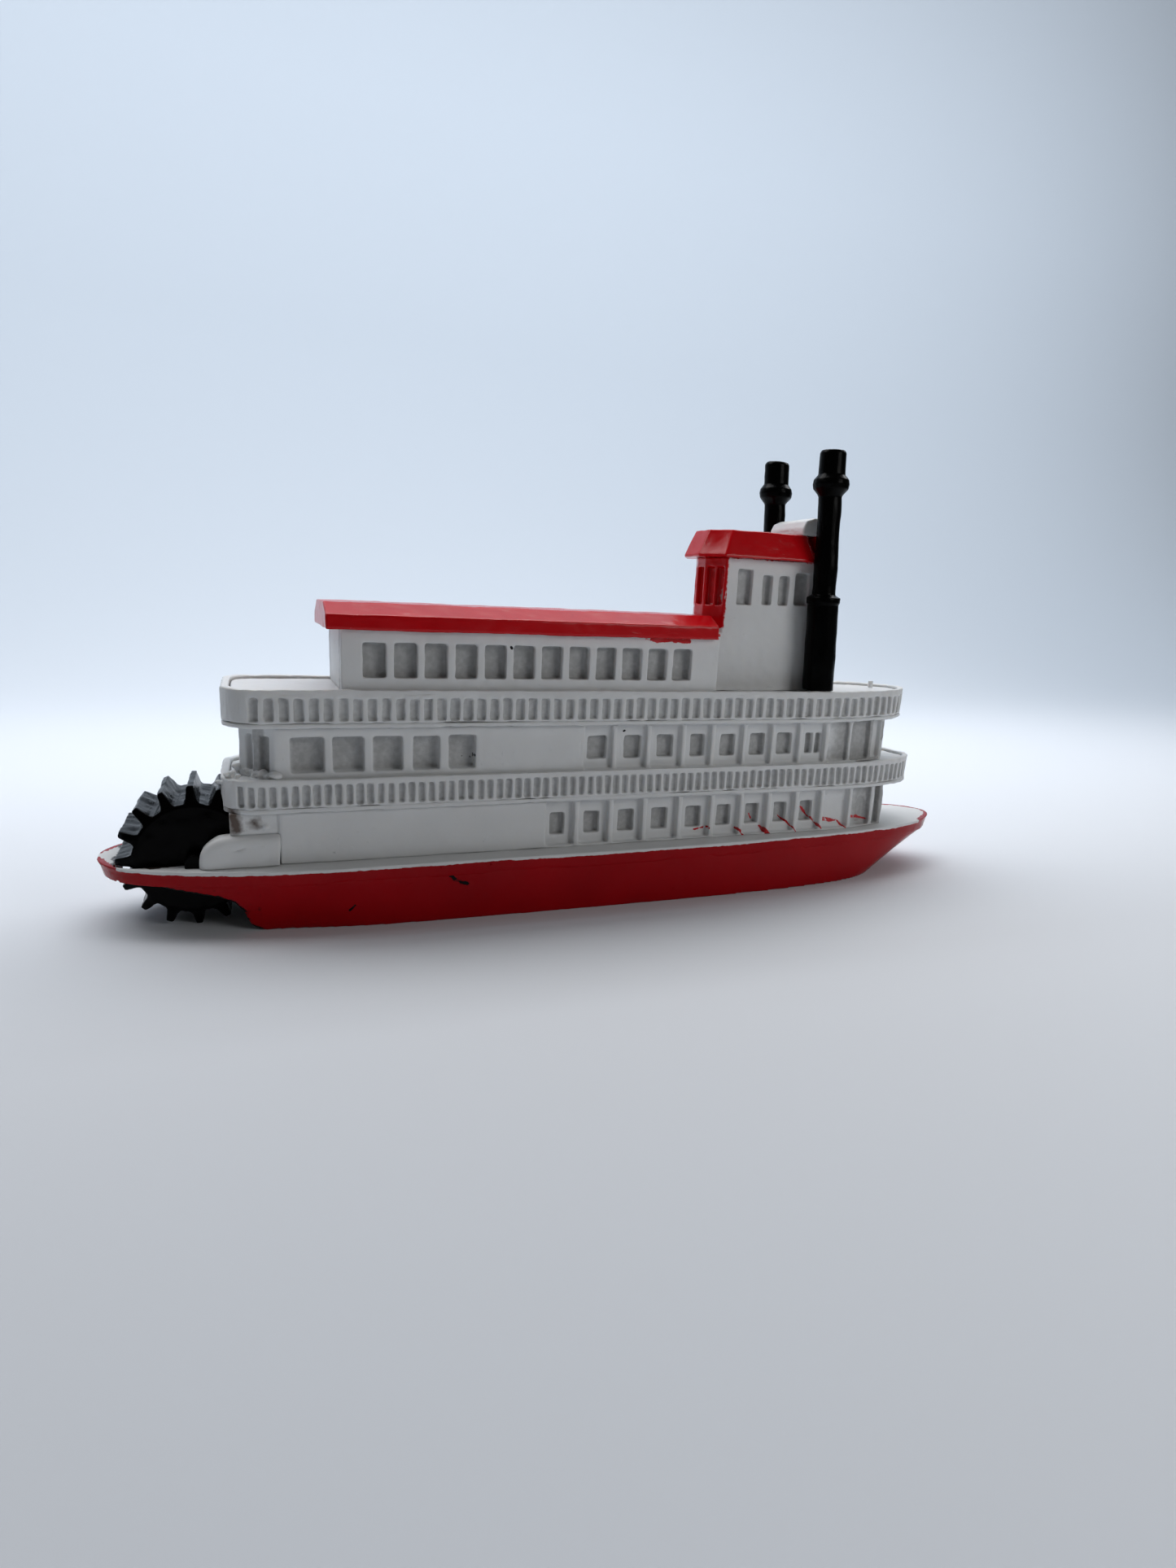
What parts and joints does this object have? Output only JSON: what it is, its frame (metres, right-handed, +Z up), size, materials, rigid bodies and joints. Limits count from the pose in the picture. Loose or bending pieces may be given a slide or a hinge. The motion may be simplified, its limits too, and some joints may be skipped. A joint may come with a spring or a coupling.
{
  "type": "toy paddle steamer",
  "caption": "Toy stern-wheel paddle steamer with stacked railed decks, windowed deckhouses, pilothouse, twin funnels and a turning paddle wheel in a stern well.",
  "frame": {"origin": "centre of the footprint at the resting surface under the hull", "axes": "+X to the bow, +Y to port, +Z up"},
  "size_m": [0.076, 0.0142, 0.038],
  "materials": {
    "white_vinyl": "soft satin white moulded vinyl",
    "red_vinyl": "glossy red paint over moulded vinyl",
    "black_vinyl": "semi-gloss black paint over moulded vinyl"
  },
  "bodies": {
    "boat": {"hull": "red_vinyl", "main_deck": "white_vinyl", "lower_deckhouse": "white_vinyl", "promenade_deck": "white_vinyl", "promenade_railing": "white_vinyl", "upper_deckhouse": "white_vinyl", "hurricane_deck": "white_vinyl", "hurricane_railing": "white_vinyl", "texas_cabin": "white_vinyl", "texas_roof": "red_vinyl", "pilothouse": "white_vinyl", "pilothouse_roof": "red_vinyl", "pilothouse_cap": "white_vinyl", "starboard_funnel": "black_vinyl", "port_funnel": "black_vinyl", "starboard_wheel_housing": "white_vinyl", "port_wheel_housing": "white_vinyl", "starboard_bearing_block": "black_vinyl", "port_bearing_block": "black_vinyl", "foredeck_stud": "white_vinyl"},
    "wheel": {"paddle_wheel": "black_vinyl", "wheel_axle": "black_vinyl"}
  },
  "joints": [
    {"name": "wheel_spin", "type": "hinge", "parent": "boat", "child": "wheel", "pos_m": [-0.0313, 0, 0.0052], "axis": [0, 1, 0], "continuous": true}
  ]
}
